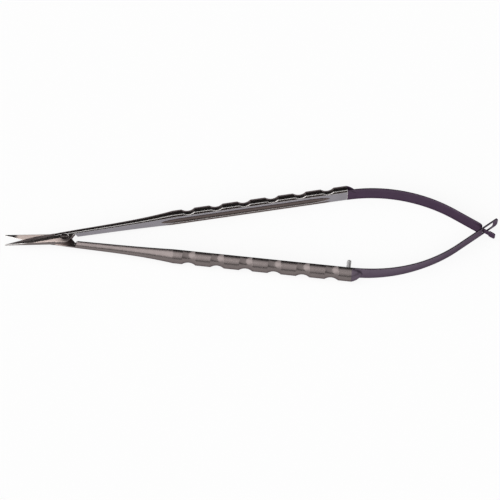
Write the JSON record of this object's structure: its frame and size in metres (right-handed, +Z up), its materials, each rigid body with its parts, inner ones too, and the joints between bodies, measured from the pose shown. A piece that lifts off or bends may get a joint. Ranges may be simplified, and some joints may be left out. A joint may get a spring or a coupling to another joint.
{
  "type": "micro scissors",
  "caption": "Spring-handled micro scissors with half-round scalloped grips, a lap joint at the pivot, a stop pin and leaf springs joined by a tee in a slot.",
  "frame": {"origin": "middle of the overall box at rest, level with the undersides of the grips that the scissors lie on", "axes": "+X from the blade tips to the leaf springs, +Y from the arm with the stop pin to the other arm, +Z up along the pivot"},
  "size_m": [0.2074, 0.046, 0.0075],
  "materials": {
    "arm_steel": "satin",
    "bare_steel": "ground",
    "spring_steel": "dark oxide"
  },
  "bodies": {
    "under": {"under_arm": "arm_steel", "pivot_screw": "arm_steel", "stop_pin": "bare_steel"},
    "over": {"over_arm": "arm_steel"},
    "tee_spring": {"tee_leaf": "spring_steel"},
    "slotted_spring": {"slotted_leaf": "spring_steel"}
  },
  "joints": [
    {"name": "pivot", "type": "hinge", "parent": "under", "child": "over", "pos_m": [-0.07856, 0, 0.00376], "axis": [0, 0, -1], "range_deg": [0, 15.2], "stiffness_Nm_per_rad": 0.3},
    {"name": "tee_flex", "type": "hinge", "parent": "over", "child": "tee_spring", "pos_m": [0.04792, 0.01971, 0.00376], "axis": [0, 0, 1], "range_deg": [0, 27], "deforming": ["tee_leaf"]},
    {"name": "slotted_flex", "type": "hinge", "parent": "under", "child": "slotted_spring", "pos_m": [0.04792, -0.01971, 0.00376], "axis": [0, 0, -1], "range_deg": [0, 27], "deforming": ["slotted_leaf"]}
  ],
  "couplings": [
    {"joint": "tee_flex", "follows": "pivot", "ratio": 1.759},
    {"joint": "slotted_flex", "follows": "pivot", "ratio": 1.759}
  ]
}
